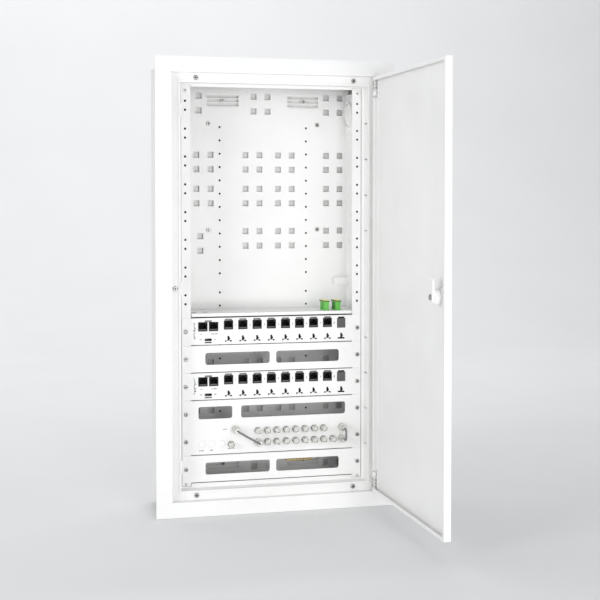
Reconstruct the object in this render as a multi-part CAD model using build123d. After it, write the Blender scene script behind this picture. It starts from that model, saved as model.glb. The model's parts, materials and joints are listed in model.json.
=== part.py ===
from build123d import *
import math
import os

# Flush-mounted home telecom cabinet with its door open at a right angle.
# Millimetres. Origin: middle of the box's back face. +X right, +Y into the wall, +Z up.
# Depths below are measured from the trim frame's front face, back towards the wall.

# Cabinet
depth = 122.0
box_width = 372.0
box_height = 706.0
box_front = 2.0
wall = 1.2
anchor_hole_radius = 3.5
anchor_spacing_x = 330.0
anchor_spacing_z = 600.0
entry_columns = (-82.0, 82.0)
entry_depth = 88.0
entry_plate = (104.0, 46.0)
entry_overlap = 7.0
grommet_pitch = 32.0
grommet_bore_radius = 6.5

# Trim frame
flange_width = 392.4
flange_height = 728.4
flange_thickness = 1.5
flange_return = 5.0
recess_width = 342.0
recess_height = 679.4
seat_depth = 14.0
opening_width = 310.0
opening_height = 649.6
lip_width = 3.0
lip_front = 12.0
collar_depth = 55.0
return_front = 34.3
return_x = 150.6
return_z = (-317.8, 320.0)
return_half = 134.4
strike_screw = (-163.6, -1.6)

# Back plate
plate_front = 114.5
plate_thickness = 1.5
plate_width = 324.0
plate_height = 668.0
plate_shift = 2.1
column_spacing = 149.1
half_unit = 22.225
column_rows = 12
column_first = 16.0
square_side = 10.0
vent_spacing = 138.6
vent_size = (55.0, 21.6)
vent_z = 304.8
boss_spacing = 187.5
boss_rows = (-266.0, -88.6, 88.6, 266.0)

# Equipment rails and panels
unit = 44.45
panel_gap = 1.6
stack_top = -50.5
rail_front = 35.5
rail_outer = 150.0
rail_leg = 15.0
rail_height = 644.0
rail_foot = 12.0
stay_span = (307.0, 321.5)
rail_screw_spots = ((314.0, 3.9), (-319.2, 2.5))
hole_spacing = 287.0
rail_thickness = 1.5
panel_thickness = 1.5
panel_width = 299.2
first_port = -73.8
port_pitch = 23.72
port_count = 8
jack_width = 14.9
jack_height = 14.6
jack_front = 33.4
board_depth = 49.0
coax_columns = tuple(-25.8 + 15.82 * i for i in range(10))
coax_rows = (-236.3, -255.0)
feed_socket = (-63.0, -232.8)
test_socket = (-70.1, -256.9)
cap_columns = (-118.1, -102.1, -86.0)
lead_diameter = 3.4

# Side entry on the right rail
side_entry_centre = (88.0, 282.5)
side_entry_size = (48.0, 68.0)
side_entry_thickness = 3.6

# Shelf
shelf_top = -44.0
adapter_columns = (93.8, 113.9)
adapter_depth = 57.5

# Door, given as it stands when closed, then turned about its pins
door_free_edge = -170.2
door_hinge_edge = 167.4
door_height = 676.4
door_front = 0.6
door_thickness = 1.2
door_return = 10.6
door_lip = 5.0
notch_z = 304.0
hinge_x = 164.8
hinge_depth = 5.8
hinge_return_x = 158.8
pin_radius = 2.0
pin_shaft_radius = 1.8
pin_clearance = 0.08
spring_radius = 2.9
spring_wire_radius = 0.8
spring_pitch = 5.0
spring_span = (317.5, 335.0)
lock_x = -140.0
lock_z = 2.0
cam_front = 17.6
cam_thickness = 3.0
cam_reach = 28.0
cam_width = 15.0


def block(x0, x1, d0, d1, z0, z1):
    centre = Pos((x0 + x1) / 2, (d0 + d1) / 2 - depth, (z0 + z1) / 2)
    return centre * Box(abs(x1 - x0), d1 - d0, abs(z1 - z0))


def sheet(profile, d0, d1):
    # A flat profile drawn in X and Z, from depth d0 to depth d1.
    return Pos(0, d1 - depth, 0) * Rot(90, 0, 0) * extrude(profile, d1 - d0)


def disc(x, z, radius, d0, d1):
    return sheet(Pos(x, z) * Circle(radius), d0, d1)


def upright(x, d, z0, z1, radius):
    return Pos(x, d - depth, (z0 + z1) / 2) * Cylinder(radius, abs(z1 - z0))


def level(d, z, x0, x1, radius):
    return Pos((x0 + x1) / 2, d - depth, z) * Rot(0, 90, 0) * Cylinder(radius, abs(x1 - x0))


def ring(outer_x, outer_z, inner_x, inner_z, d0, d1):
    return sheet(Rectangle(outer_x, outer_z) - Rectangle(inner_x, inner_z), d0, d1)


def group(solids):
    return Compound(children=list(solids))


def flip(shape):
    # The same piece at the other end of the cabinet.
    return mirror(shape, Plane.XY)


def pan_screw(x, z, face, shank_radius, length, head_radius, head_height):
    head = disc(x, z, head_radius, face - head_height, face)
    head = fillet(head.edges().sort_by(Axis.Y)[0], head_height * 0.6)
    arm = head_radius * 1.25
    width = head_radius * 0.34
    cross = Pos(x, z) * (Rectangle(arm, width) + Rectangle(width, arm))
    drive = sheet(cross, face - head_height - 0.5, face - head_height + 1.1)
    return head - drive + disc(x, z, shank_radius, face, face + length)


def back_box():
    shell = ring(box_width, box_height, box_width - 2 * wall, box_height - 2 * wall, box_front, depth - wall)
    back = sheet(Rectangle(box_width, box_height), depth - wall, depth)
    holes = [
        disc(x * anchor_spacing_x / 2, z * anchor_spacing_z / 2, anchor_hole_radius, depth - 3, depth + 1)
        for x in (-1, 1)
        for z in (-1, 1)
    ]
    half_x = entry_plate[0] / 2 - entry_overlap
    half_d = entry_plate[1] / 2 - entry_overlap
    entries = [
        block(x - half_x, x + half_x, entry_depth - half_d, entry_depth + half_d, z - 4, z + 4)
        for x in entry_columns
        for z in (-box_height / 2, box_height / 2)
    ]
    return shell + back - holes - entries


def wall_anchors():
    # Bent tabs folded out of each side; mortar or plaster grips them.
    outer = box_width / 2
    tab = block(outer, outer + 1.2, 60, 88, -9, 9) + block(outer, outer + 5.5, 60, 61.2, -9, 9)
    right = [Pos(0, 0, z) * tab for z in (-335.0, 0.0, 335.0)]
    return group(right + [mirror(tab_copy, Plane.YZ) for tab_copy in right])


def entry_holes(x):
    return [x + grommet_pitch * i for i in (-1, 0, 1)]


def cable_entry_plates():
    inner = box_height / 2 - wall
    plates = []
    for x in entry_columns:
        half_x = entry_plate[0] / 2
        half_d = entry_plate[1] / 2
        plate = block(x - half_x, x + half_x, entry_depth - half_d, entry_depth + half_d, inner - 2, inner)
        plate = plate - [upright(hole, entry_depth, inner - 4, inner + 2, 10.5) for hole in entry_holes(x)]
        plates += [plate, flip(plate)]
    return group(plates)


def cable_grommets():
    low = box_height / 2 - wall - 2
    grommets = []
    for x in entry_columns:
        for hole in entry_holes(x):
            body = upright(hole, entry_depth, low - 3, low + 3, 10.3)
            body = body + upright(hole, entry_depth, low - 3, low, 12.5)
            body = body - upright(hole, entry_depth, low - 5, low + 5, grommet_bore_radius)
            grommets += [body, flip(body)]
    return group(grommets)


def frame_screw_places():
    return [(x, z) for x in (-130.0, 130.0) for z in (-332.5, 332.5)]


def frame_brackets():
    inner = box_height / 2 - wall
    brackets = []
    for x, z in frame_screw_places():
        side = 1 if z > 0 else -1
        leg = block(x - 12, x + 12, 15.4, 17.4, 327, inner)
        foot = block(x - 12, x + 12, 15.4, 45, inner - 2, inner)
        bracket = (leg + foot) - disc(x, 332.5, 2.0, 10, 20)
        brackets.append(bracket if side > 0 else flip(bracket))
    return group(brackets)


def squares():
    # Knock-through holes that cable ties and device clips hook into.
    wide = (-111.8, -87.8, -28.3, -4.3, 27.7, 51.7, 112.0, 136.0)
    marks = [(x, z) for x in wide for z in (133.3, 157.5, 190.0, 214.0)]
    marks += [(x, z) for x in wide[2:] for z in (61.8, 86.4)]
    marks += [(-105.4, z) for z in (54.1, 78.3)]
    marks += [(x, z) for x in (-107.7, -14.3, 9.7, 112.0, 136.0) for z in (287.5, 312.0)]
    return marks


def mounting_plate():
    profile = RectangleRounded(plate_width, plate_height, 3)
    cutters = [Pos(x, s * z) * Rectangle(square_side, square_side) for x, z in squares() for s in (-1, 1)]
    for side in (-1, 1):
        x = plate_shift + side * column_spacing / 2
        for row in range(column_rows):
            z = column_first + row * half_unit
            cutters += [Pos(x, z) * Circle(1.8), Pos(x, -z) * Circle(1.8)]
        vent_x = plate_shift + side * vent_spacing / 2
        cutters += [Pos(vent_x, s * vent_z) * RectangleRounded(*vent_size, 2) for s in (-1, 1)]
        screw_x = plate_shift + side * boss_spacing / 2
        cutters += [Pos(screw_x, z) * Circle(2.2) for z in boss_rows]
    return sheet(profile - cutters, plate_front, plate_front + plate_thickness)


def boss_places():
    return [(plate_shift + s * boss_spacing / 2, z) for s in (-1, 1) for z in boss_rows]


def plate_bosses():
    # Threaded pads fixed to the box's back; each one takes a plate screw.
    rear = plate_front + plate_thickness
    inner = depth - wall
    bosses = [disc(x, z, 5.0, rear, inner) for x, z in boss_places()]
    threads = [disc(x, z, 2.0, rear - 1, inner - 0.4) for x, z in boss_places()]
    return group(boss - thread for boss, thread in zip(bosses, threads))


def plate_screws():
    return group(pan_screw(x, z, plate_front, 1.9, 5.4, 3.6, 2.0) for x, z in boss_places())


def vent_grille(side, end):
    # Louvre strip behind the window: three slots with two raised bars between them.
    x = plate_shift + side * vent_spacing / 2
    z = end * vent_z
    rear = plate_front + plate_thickness
    base = Pos(x, z) * RectangleRounded(vent_size[0] + 8, vent_size[1] + 8, 2)
    slots = [Pos(x, z + s) * Rectangle(vent_size[0] - 2, 4.6) for s in (-6.7, 0.0, 6.7)]
    grille = sheet(base - slots, rear, rear + 1.2)
    bars = [Pos(x, z + s) * SlotOverall(vent_size[0] - 2, 1.8) for s in (-3.35, 3.35)]
    grille = grille + [sheet(bar, rear - 1.2, rear) for bar in bars]
    pad = disc(x, z, 3.6, rear - 1.2, rear + 1.2)
    return grille + pad - disc(x, z, 1.5, rear - 3, rear + 3)


def vent_screws():
    face = plate_front + plate_thickness - 1.2
    centres = [(plate_shift + s * vent_spacing / 2, e * vent_z) for s in (-1, 1) for e in (-1, 1)]
    return group(pan_screw(x, z, face, 1.4, 3.4, 3.0, 1.6) for x, z in centres)


def collar_returns():
    # Folded strips inside the collar that close the gaps beside, above and below the rails.
    back = return_front + wall
    edge_x = opening_width / 2 + wall
    edge_z = opening_height / 2 + wall
    half = return_half
    sides = [block(s * return_x, s * edge_x, return_front, back, -edge_z, edge_z) for s in (-1, 1)]
    low = block(-half, half, return_front, back, -edge_z, return_z[0])
    high = block(-half, half, return_front, back, return_z[1], edge_z)
    clear = rail_height / 2 + 0.4
    ends = [block(-edge_x, edge_x, return_front, back, clear, edge_z)]
    ends.append(block(-edge_x, edge_x, return_front, back, -edge_z, -clear))
    return sides + [low, high] + ends


def trim_frame():
    t = wall
    flange = ring(flange_width, flange_height, recess_width, recess_height, 0, flange_thickness)
    rim = ring(flange_width, flange_height, flange_width - 2 * t, flange_height - 2 * t, 0, flange_return)
    recess = ring(recess_width + 2 * t, recess_height + 2 * t, recess_width, recess_height, 0, seat_depth + t)
    inner = (opening_width, opening_height)
    seat = ring(recess_width + t, recess_height + t, *inner, seat_depth, seat_depth + t)
    lip = ring(inner[0] + 2 * lip_width, inner[1] + 2 * lip_width, *inner, lip_front, seat_depth + t)
    collar = ring(inner[0] + 2 * t, inner[1] + 2 * t, *inner, seat_depth, collar_depth)
    frame = flange + rim + recess + seat + lip + collar + collar_returns()
    cutters = [disc(x, z, 2.2, lip_front - 1, 17) for x, z in frame_screw_places()]
    cutters.append(disc(*strike_screw, 2.2, seat_depth - 1, 17))
    cutters += [upright(hinge_x, hinge_depth, s * 334, s * 348, pin_radius + pin_clearance) for s in (-1, 1)]
    for k in (1, 2, 3, 4):
        for s in (-1, 1):
            z = s * (29.3 + 58.7 * k)
            cutters.append(block(-160, 160, 18, 32, z - 0.8, z + 0.8))
    # Slot in the left collar wall that the lock cam turns through.
    cutters.append(block(-160, -150, cam_front - 1.5, 22, lock_z - 8, lock_z + 30))
    return frame - cutters


def frame_screws():
    screws = [pan_screw(x, z, seat_depth, 1.9, 6.0, 3.9, 2.4) for x, z in frame_screw_places()]
    screws.append(pan_screw(*strike_screw, seat_depth, 1.9, 2.8, 3.9, 2.4))
    return group(screws)


def strike_plate():
    front = seat_depth + wall
    plate = block(-170, -156.3, front, front + 1.6, -14, 34)
    return plate - disc(*strike_screw, 2.0, front - 1, front + 3)


def door_catches():
    # White tabs clipped over the lip of the seat on the lock side.
    catches = []
    for z in (281.8, -1.2, -285.6):
        edge = -opening_width / 2
        body = block(edge - 1, edge + 1.6, 9.6, lip_front, z - 10.2, z + 10.2)
        body = body + block(edge, edge + 1.6, 9.6, 15.5, z - 10.2, z + 10.2)
        catches.append(chamfer(body.edges().filter_by(Axis.Z).sort_by(Axis.Y)[0:2], 0.5))
    return group(catches)


def rail_rows():
    centres = [stack_top - unit / 2 - unit * k for k in range(-8, 6)]
    return [z for z in centres if abs(z) < 308]


def rail(side):
    inner = rail_outer - rail_leg
    half = rail_height / 2
    front = block(inner, rail_outer, rail_front, rail_front + rail_thickness, -half, half)
    web_x = rail_outer - rail_thickness
    web = block(web_x, rail_outer, rail_front, plate_front, -half, half)
    foot = block(web_x, rail_outer + rail_foot, plate_front - rail_thickness, plate_front, -half, half)
    centre = hole_spacing / 2
    holes = [disc(centre, z, 1.9, 30, 40) for z in rail_rows()]
    holes += [disc(centre, z + 14.3, 1.9, 30, 40) for z in rail_rows() if z > stack_top]
    holes += [disc(centre, z, 2.1, 30, 40) for z, _ in rail_screw_spots]
    holes += [level(95, s * 322, rail_outer - 4, rail_outer + 2, 13) for s in (-1, 1)]
    holes += [level(96, z, rail_outer - 4, rail_outer + 2, 1.8) for z in (70.0, 112.0)]
    body = front + web + foot - holes
    return body if side > 0 else mirror(body, Plane.YZ)


def rail_stays():
    # Angle behind each rail end, from the rail's front leg to its web.
    front = rail_front + rail_thickness
    web = rail_outer - rail_thickness
    angle = block(137, web, front, front + rail_thickness, *stay_span)
    angle = angle + block(web - rail_thickness, web, front, front + 26, *stay_span)
    ends = (angle, flip(angle))
    threads = [disc(hole_spacing / 2, z, 1.95, 30, 45) for z, _ in rail_screw_spots]
    right = [stay - thread for stay, thread in zip(ends, threads)]
    return group(right + [mirror(stay, Plane.YZ) for stay in right])


def rail_screws():
    places = [(s * hole_spacing / 2, z, head) for s in (-1, 1) for z, head in rail_screw_spots]
    return group(pan_screw(x, z, rail_front, 1.9, 5.0, head, 1.8) for x, z, head in places)


def side_entry_plate():
    # Rounded cover over the cable way in the rail's web, with a raised ring round its cap.
    face = rail_outer - rail_thickness - side_entry_thickness
    d, z = side_entry_centre
    profile = RectangleRounded(*side_entry_size, 13)
    turned = Rot(0, 90, 0) * Rot(0, 0, 90) * extrude(profile, side_entry_thickness)
    ring_edge = face - 3.0
    collar = level(d, z, ring_edge, face, 21.5) - level(d, z, ring_edge - 1, face, 19.6)
    holes = [level(d, z + s * 29.0, face - 1, face + 1.5, 1.7) for s in (-1, 1)]
    return Pos(face, d - depth, z) * turned + collar - holes


def side_entry_cap():
    face = rail_outer - rail_thickness - side_entry_thickness
    cap = level(*side_entry_centre, face - 1.8, face, 18.4)
    return fillet(cap.edges().sort_by(Axis.X)[0], 1.0)


def lacing_bracket():
    inner = rail_outer - rail_thickness
    return block(122, inner, 98, 99.5, -4, 7) + block(inner - 1.5, inner, 98, 110, -4, 7)


def panel_span(first, units):
    top = stack_top - first * unit - panel_gap / 2
    return top - units * unit + panel_gap, top


def blank_panel(first, units, cutters):
    low, high = panel_span(first, units)
    middle = (low + high) / 2
    profile = Pos(0, middle) * RectangleRounded(panel_width, high - low, 1.2)
    rows = [stack_top - unit * (first + k + 0.5) for k in range(units)]
    screws = [Pos(s * hole_spacing / 2, z) * Circle(2.1) for z in rows for s in (-1, 1)]
    front = rail_front - panel_thickness
    face = sheet(profile - screws - cutters, front, rail_front)
    inner = rail_outer - rail_leg - 1
    upper = block(-inner, inner, front, rail_front + 7, high - 1.2, high)
    lower = block(-inner, inner, front, rail_front + 7, low, low + 1.2)
    return face + upper + lower


def jack_places(first):
    top = stack_top - first * unit
    pair = [(-115.8, top - 14.6), (-98.2, top - 14.6)]
    return pair + [(first_port + port_pitch * i, top - 12.6) for i in range(port_count)]


def spare_port(first):
    return first_port + port_pitch * port_count, stack_top - first * unit - 12.6


def tie_places(first):
    return [(first_port + port_pitch * i, stack_top - first * unit - 38.6) for i in range(port_count + 1)]


def data_panel(first):
    cutters = []
    for x, z in jack_places(first):
        cutters.append(Pos(x, z) * Rectangle(jack_width + 0.3, jack_height + 0.3))
    for x, z in jack_places(first)[2:]:
        cutters.append(Pos(x, z + jack_height / 2 + 1.2) * Rectangle(11.4, 3.0))
    pair_z = jack_places(first)[0][1]
    cutters.append(Pos(-107, pair_z + jack_height / 2 + 1.4) * Rectangle(11.4, 2.6))
    x, z = spare_port(first)
    cutters.append(Pos(x, z - 1.2) * Rectangle(14.7, 16.0))
    cutters.append(Pos(x, z + 7.6) * Rectangle(11.4, 3.2))
    for x, z in tie_places(first):
        cutters.append(Pos(x, z) * Rectangle(11.4, 2.6))
        cutters.append(Pos(x, z + 4.6) * Rectangle(3.4, 7.6))
        cutters.append(Pos(x + 1.2, z + 4.0) * Circle(1.9))
    low = panel_span(first, 1)[0]
    cutters.append(Pos(-107, low + 7.8) * SlotOverall(12.4, 4.4))
    cutters.append(Pos(-107, low + 3.4) * SlotOverall(12.0, 2.2))
    return blank_panel(first, 1, cutters)


def slotted_panel(first):
    middle = sum(panel_span(first, 1)) / 2
    slots = [Pos(s * 58.6, middle) * RectangleRounded(106.5, 19.6, 4) for s in (-1, 1)]
    return blank_panel(first, 1, slots)


def coax_places():
    top = [(x, coax_rows[0]) for x in coax_columns[:8] + coax_columns[9:]]
    return top + [(x, coax_rows[1]) for x in coax_columns]


def coax_panel(first):
    cutters = [Pos(-95.4, -204.6) * RectangleRounded(55.7, 20, 4)]
    cutters.append(Pos(34.8, -204.6) * RectangleRounded(176, 20, 4))
    cutters += [Pos(x, z) * Circle(5.0) for x, z in coax_places() + [feed_socket, test_socket]]
    cutters += [Pos(x, coax_rows[1]) * Circle(4.2) for x in cap_columns]
    return blank_panel(first, 2, cutters)


def jack(x, z):
    half_x = jack_width / 2
    half_z = jack_height / 2
    body = block(x - half_x, x + half_x, jack_front, board_depth, z - half_z, z + half_z)
    port = block(x - 5.9, x + 5.9, jack_front - 1, jack_front + 12, z - 3.4, z + 3.4)
    key = block(x - 3.2, x + 3.2, jack_front - 1, jack_front + 12, z + 3.3, z + 5.6)
    shelf = block(x - 4.6, x + 4.6, jack_front - 1, jack_front + 0.8, z - 6.0, z - 4.2)
    return body - port - key - shelf


def jack_latch(x, z):
    tab = block(x - 5.2, x + 5.2, 32.6, 46, z, z + 1.9)
    return tab - block(x + 2.6, x + 4.2, 32, 35, z - 1, z + 3)


def latches(first):
    places = jack_places(first)
    tabs = [jack_latch(x, z + jack_height / 2 + 0.1) for x, z in places[2:]]
    tabs.append(jack_latch(-107, places[0][1] + jack_height / 2 + 0.2))
    return group(tabs)


def circuit_board(first):
    low, high = panel_span(first, 1)
    board = block(-128, 130, board_depth, board_depth + 1.6, low + 1.5, high + 0.9)
    holes = [disc(x, low + 7, 1.6, board_depth - 1, board_depth + 3) for x in (-124, 126)]
    return board - holes


def punch_blocks(first):
    # Insulation-displacement blocks where the house cables are wired.
    blocks = []
    for x, z in jack_places(first):
        back = board_depth + 1.6
        body = block(x - 6.6, x + 6.6, back, back + 11, z - 8, z + 8)
        slots = [block(x - 8, x + 8, back + 5, back + 12, z + s - 0.5, z + s + 0.5) for s in (-6, -2, 2, 6)]
        blocks.append(body - slots)
    return group(blocks)


def tie_anchors(first):
    # Small tongues that hold a cable tie, clipped into the lower slots.
    anchors = []
    front = rail_front - panel_thickness
    for x, z in tie_places(first)[:port_count]:
        hook = block(x - 3.0, x + 1.8, front - 1.2, rail_front + 2, z - 0.7, z + 0.7)
        tongue = block(x - 5.2, x + 5.2, front - 2.4, front - 0.2, z - 4.0, z - 0.9)
        tongue = fillet(tongue.edges().filter_by(Axis.Y).group_by(Axis.Z)[0], 1.4)
        neck = block(x - 3.0, x + 1.8, front - 2.4, front - 1.2, z - 0.9, z + 0.7)
        anchors.append(hook + tongue + neck)
    return group(anchors)


def splitter_housing():
    # Die-cast body that the sockets screw into, hung from the coaxial panel.
    back = rail_front
    wide = block(-36, 127, back, back + 20, -266, -227)
    narrow = block(-80, -52, back, back + 20, -267, -224)
    link = block(-52, -36, back + 6, back + 16, -250, -240)
    return fillet((wide + narrow + link).edges().filter_by(Axis.Y), 1.0)


def coax_socket(x, z):
    front = 20.0
    thread = disc(x, z, 4.6, front, rail_front)
    thread = thread + disc(x, z, 5.4, 31.6, rail_front - panel_thickness)
    thread = thread - disc(x, z, 3.4, front - 1, front + 7)
    insert = disc(x, z, 2.9, front + 4, front + 8) - disc(x, z, 0.8, front + 3, front + 7)
    return thread + insert


def coax_sockets():
    return group(coax_socket(x, z) for x, z in coax_places() + [feed_socket, test_socket])


def blank_caps():
    front = rail_front - panel_thickness
    caps = []
    for x in cap_columns:
        head = disc(x, coax_rows[1], 5.5, front - 1.8, front)
        head = fillet(head.edges().sort_by(Axis.Y)[0], 1.0)
        caps.append(head + disc(x, coax_rows[1], 4.0, front, front + 5))
    return group(caps)


def leads():
    long_lead = (feed_socket, (coax_columns[0], coax_rows[1]))
    short_lead = ((coax_columns[9], coax_rows[0]), (coax_columns[9], coax_rows[1]))
    return long_lead, short_lead


def coax_plug(x, z):
    # Push-on sleeve over the socket, then the crimp that grips the lead.
    sleeve = disc(x, z, 6.2, 17.5, 31.0) - disc(x, z, 4.75, 19.8, 32)
    cuts = [Pos(x, z) * Rot(0, 0, 45 * i) * Rectangle(13, 0.9) for i in range(4)]
    sleeve = sleeve - [sheet(cut, 24, 32) for cut in cuts]
    crimp = disc(x, z, 3.4, 14.5, 17.6)
    return sleeve + crimp


def coax_plugs():
    ends = [end for lead in leads() for end in lead]
    return group(coax_plug(x, z) for x, z in ends)


def lead_route(start, end):
    # Straight out of one plug, across in a shallow arch, and straight into the other.
    run_x = end[0] - start[0]
    run_z = end[1] - start[1]
    length = math.hypot(run_x, run_z)
    lean = 5.5 if length > 30 else 4.6
    ux, uz = run_x / length, run_z / length
    points = [(start, 0, 14.5), (start, 0, 8.6), (start, lean, 5.4)]
    points += [(end, -lean, 5.4), (end, 0, 8.6), (end, 0, 14.5)]
    return [Vector(p[0] + ux * along, d - depth, p[1] + uz * along) for p, along, d in points]


def corner_radii(points):
    radii = []
    for a, b, c in zip(points, points[1:], points[2:]):
        turn = (b - a).get_angle(c - b)
        shorter = min((b - a).length, (c - b).length)
        radii.append(0.45 * shorter / math.tan(math.radians(turn / 2)))
    return radii


def lead(start, end):
    points = lead_route(start, end)
    radii = corner_radii(points)
    path = FilletPolyline(*points, radius=radii)
    section = Plane(origin=points[0], z_dir=points[1] - points[0]) * Circle(lead_diameter / 2)
    tube = sweep(section, path=path)
    ideal = math.pi * (lead_diameter / 2) ** 2 * path.length
    print("lead length", round(path.length, 1), "radii", [round(r, 1) for r in radii])
    print("lead volume over section times length", round(tube.volume / ideal, 4))
    return tube


def panel_screws():
    rows = [stack_top - unit * (k + 0.5) for k in range(6)]
    face = rail_front - panel_thickness
    places = [(s * hole_spacing / 2, z) for z in rows for s in (-1, 1)]
    return group(pan_screw(x, z, face, 1.8, 7.0, 3.4, 2.2) for x, z in places)


def fibre_shelf():
    between = rail_outer - rail_leg - 1
    web = rail_outer - rail_thickness - 0.1
    floor = block(-between, between, 34.2, 38, shelf_top - 1.2, shelf_top)
    floor = floor + block(-web, web, 38, 112.5, shelf_top - 1.2, shelf_top)
    floor = floor + block(-between, between, 34.2, 35.4, shelf_top - 5.0, shelf_top)
    for s in (-1, 1):
        edge = s * (web - 0.6)
        floor = floor + block(edge - 0.6, edge + 0.6, 45, 110, shelf_top - 1.2, shelf_top + 14)
    slots = [block(x - 4.2, x + 4.2, 52, 68, -50, -40) for x in (-127.6, -108.0)]
    slots += [block(x - 4.2, x + 4.2, 98, 101.5, -50, -40) for x in (-20.0, 40.0)]
    slots += [adapter_window(x) for x in adapter_columns]
    return floor - slots


def adapter_window(x):
    return block(x - 4.1, x + 4.1, adapter_depth - 10.8, adapter_depth + 10.8, -50, -40)


def adapter(x):
    d = adapter_depth
    body = block(x - 4.0, x + 4.0, d - 10.6, d + 10.6, -50, shelf_top)
    neck = block(x - 3.9, x + 3.9, d - 12.4, d + 12.4, shelf_top, -29)
    foot = block(x - 4.7, x + 4.7, d - 13.3, d + 13.3, shelf_top, -42)
    head = block(x - 4.7, x + 4.7, d - 13.3, d + 13.3, -31, -29)
    whole = body + neck + foot + head
    return whole - block(x - 2.9, x + 2.9, d - 9, d + 9, -41, -28)


def adapter_cap(x):
    d = adapter_depth
    plug = block(x - 2.8, x + 2.8, d - 8.8, d + 8.8, -36, -29)
    top = block(x - 4.2, x + 4.2, d - 12.6, d + 12.6, -29, -27.2)
    return plug + top


def earth_bar():
    bar = block(38, 82, 92, 100, -301, -292)
    return bar - [disc(42 + 6 * i, -296.5, 1.75, 90, 102) for i in range(7)]


def earth_screws():
    return group(pan_screw(42 + 6 * i, -296.5, 92, 1.65, 6, 2.5, 1.8) for i in range(7))


def earth_supports():
    stands = [block(x - 4, x + 4, 100, plate_front, -301, -292) for x in (44, 76)]
    return group(chamfer(stand.edges().filter_by(Axis.Y), 1.0) for stand in stands)


def open_door(shape):
    # Turns a closed-door shape to the standing-open rest position.
    pin = Vector(hinge_x, hinge_depth - depth, 0)
    return Pos(*pin) * Rot(0, 0, 90) * Pos(*(-pin)) * shape


def door_panel():
    half_z = door_height / 2
    free, hinge = door_free_edge, door_hinge_edge
    t = door_thickness
    back = door_front + door_return
    inside = back - t
    skin = block(free, hinge, door_front, door_front + t, -half_z, half_z)
    free_side = block(free, free + t, door_front, back, -half_z, half_z)
    free_lip = block(free, free + door_lip, inside, back, -half_z, half_z)
    hinge_side = block(hinge_return_x - t, hinge_return_x, door_front, back, -notch_z, notch_z)
    hinge_lip = block(hinge_return_x - door_lip, hinge_return_x, inside, back, -notch_z, notch_z)
    caps = [block(free, hinge - 0.6, door_front, back, z, z + t) for z in (-half_z, half_z - t)]
    lip_rows = (-half_z, half_z - door_lip)
    cap_lips = [block(free, hinge_return_x, inside, back, z, z + door_lip) for z in lip_rows]
    body = skin + free_side + free_lip + hinge_side + hinge_lip + caps + cap_lips
    # The hinge end of the top and bottom returns is cut back so that it clears the trim while turning.
    for z in (-half_z, half_z):
        body = body - block(hinge_x - 3.0, hinge + 1, 9.2, back + 1, z - 6, z + 6)
        body = body - upright(hinge_x, hinge_depth, z - 4, z + 4, pin_radius + pin_clearance)
    return body - disc(lock_x, lock_z, 9.2, -2, 6)


def hinge_ear(end):
    # Angle fixed inside the door's corner; its plate guides the pin and seats the spring.
    back = door_front + door_thickness
    plate = block(hinge_x - 6.8, hinge_x + 2.4, back, 9.4, 316, 317.5)
    plate = plate - upright(hinge_x, hinge_depth, 315, 320, pin_shaft_radius + pin_clearance)
    leg = block(hinge_x - 6.8, hinge_x - 4.2, back, back + 1.2, 306, 336)
    ear = open_door(plate + leg)
    return ear if end > 0 else flip(ear)


def hinge_pin(end):
    half_z = door_height / 2
    shaft = upright(hinge_x, hinge_depth, 311, 335.2, pin_shaft_radius)
    collar = upright(hinge_x, hinge_depth, spring_span[1], half_z - door_thickness - 0.1, 3.4)
    tip = upright(hinge_x, hinge_depth, half_z - door_thickness - 0.2, 345, pin_radius)
    tip = chamfer(tip.edges().sort_by(Axis.Z)[-1], 0.6)
    knob = upright(hinge_x, hinge_depth, 308.6, 315.6, 3.4)
    knob = fillet(knob.edges().sort_by(Axis.Z)[0], 2.0)
    pin = shaft + collar + tip + knob
    return pin if end > 0 else flip(pin)


def pin_spring(end):
    low, high = spring_span
    seat_gap = spring_wire_radius + 0.05
    coil = Helix(pitch=spring_pitch, height=high - low - 2 * seat_gap, radius=spring_radius)
    section = Plane(origin=coil @ 0, z_dir=coil % 0) * Circle(spring_wire_radius)
    coil_solid = sweep(section, path=coil, is_frenet=True)
    spring = Pos(hinge_x, hinge_depth - depth, low + seat_gap) * coil_solid
    return spring if end > 0 else flip(spring)


def lock_housing():
    back = door_front + door_thickness
    base = sheet(Pos(lock_x, lock_z) * RectangleRounded(26, 26, 3), back, back + 3)
    collar = disc(lock_x, lock_z, 10.6, back + 3, back + 8)
    bezel = disc(lock_x, lock_z, 11.5, -0.6, door_front)
    throat = disc(lock_x, lock_z, 9.1, -0.6, back + 3)
    shell = base + collar + bezel + throat
    return shell - disc(lock_x, lock_z, 7.1, -3, back + 9)


def lock_nut():
    back = door_front + door_thickness + 3
    nut = disc(lock_x, lock_z, 13, back, back + 4) - disc(lock_x, lock_z, 10.62, back - 1, back + 5)
    for angle in (0, 90, 180, 270):
        notch = Pos(lock_x, lock_z) * Rot(0, 0, angle) * Pos(13, 0) * Rectangle(1.6, 3)
        nut = nut - sheet(notch, back - 1, back + 5)
    return nut


def lock_core():
    cap_front = door_front + door_thickness + 8.1
    core = disc(lock_x, lock_z, 7.05, -0.4, cap_front)
    cap = disc(lock_x, lock_z, 12.2, cap_front, cam_front)
    square = sheet(Pos(lock_x, lock_z) * Rectangle(7, 7), cam_front, cam_front + cam_thickness)
    slot = sheet(Pos(lock_x, lock_z) * Rectangle(11, 2), -1, 2.4)
    hole = disc(lock_x, lock_z, 1.6, cam_front - 4, cam_front + 4)
    return core + cap + square - slot - hole


def lock_cam():
    reach = cam_reach - cam_width / 2
    profile = Pos(lock_x, lock_z + reach / 2) * Rot(0, 0, 90) * SlotCenterToCenter(reach, cam_width)
    profile = profile - Pos(lock_x, lock_z) * Rectangle(7.02, 7.02)
    marks = [Pos(lock_x, lock_z + z) * Circle(1.2) for z in (11.0, 17.0, 23.0)]
    return sheet(profile - marks, cam_front, cam_front + cam_thickness)


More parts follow.
